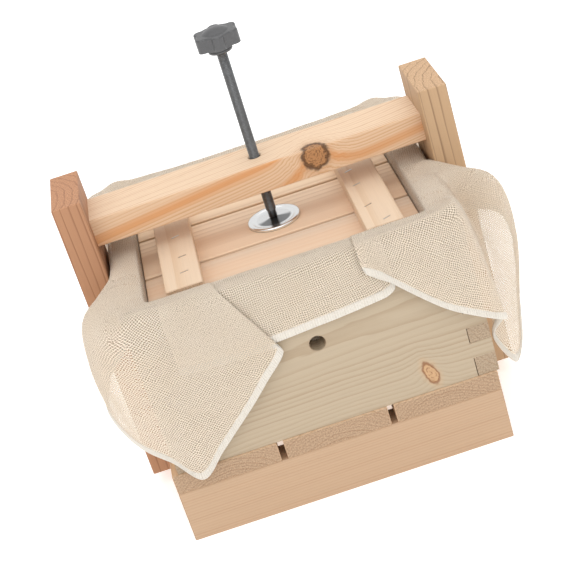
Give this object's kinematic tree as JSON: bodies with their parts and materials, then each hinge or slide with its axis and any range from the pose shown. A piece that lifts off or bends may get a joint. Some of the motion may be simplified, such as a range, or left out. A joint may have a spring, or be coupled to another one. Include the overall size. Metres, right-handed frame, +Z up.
{
  "type": "cheese press",
  "caption": "Wooden box cheese press: slatted base, finger-jointed mould with a loose lid and cheesecloth lining, pressed by a hand screw in a gate frame.",
  "frame": {"origin": "on the surface the press stands on, below the middle of the gate frame", "axes": "+Z up along the press screw, +X to the right along the gate's beams, -Y towards the user, the side with the drain hole"},
  "size_m": [0.3106, 0.274, 0.3369],
  "materials": {
    "pine_left_upright": "planed, unvarnished",
    "pine_right_upright": "planed, unvarnished",
    "pine_top_beam": "planed, unvarnished",
    "pine_bottom_beam": "planed, unvarnished",
    "pine_panel": "planed, unvarnished",
    "pine_slat": "planed, unvarnished",
    "pine_bearer": "planed, unvarnished",
    "pine_lid": "planed, unvarnished",
    "pine_batten": "planed, unvarnished",
    "bright_steel": "bright wire",
    "zinc_steel": "zinc plated",
    "foot_chrome": "polished",
    "black_plastic": "satin moulded",
    "brass": "turned",
    "cotton": "open plain weave"
  },
  "bodies": {
    "frame": {"back_panel": "pine_panel", "base_nails": "bright_steel", "base_slat_left": "pine_slat", "base_slat_middle": "pine_slat", "base_slat_right": "pine_slat", "beam_t_nut": "zinc_steel", "bottom_beam": "pine_bottom_beam", "cheesecloth": "cotton", "front_bearer": "pine_bearer", "front_panel": "pine_panel", "left_gate_screws": "bright_steel", "left_panel": "pine_panel", "left_upright": "pine_left_upright", "rear_bearer": "pine_bearer", "right_gate_screws": "bright_steel", "right_panel": "pine_panel", "right_upright": "pine_right_upright", "top_beam": "pine_top_beam"},
    "foot": {"foot_plate": "foot_chrome", "foot_pad": "zinc_steel"},
    "screw": {"press_screw": "zinc_steel", "star_knob": "black_plastic", "knob_insert": "brass"},
    "lid": {"lid_batten_left": "pine_batten", "lid_batten_right": "pine_batten", "lid_board_front": "pine_lid", "lid_board_middle": "pine_lid", "lid_board_rear": "pine_lid", "lid_staples": "bright_steel"}
  },
  "joints": [
    {"name": "foot_travel", "type": "slide", "parent": "frame", "child": "foot", "axis": [0, 0, 1], "range_m": [-0.08, 0.016]},
    {"name": "screw_turn", "type": "hinge", "parent": "foot", "child": "screw", "pos_m": [0.0028, 0, 0.25], "axis": [0, 0, 1], "range_deg": [-23040, 4608]},
    {"name": "lid_drop", "type": "slide", "parent": "foot", "child": "lid", "axis": [0, 0, 1], "range_m": [-0.016, 0]}
  ],
  "couplings": [
    {"joint": "foot_travel", "follows": "screw_turn", "m_per_rad": 0.00019894}
  ]
}
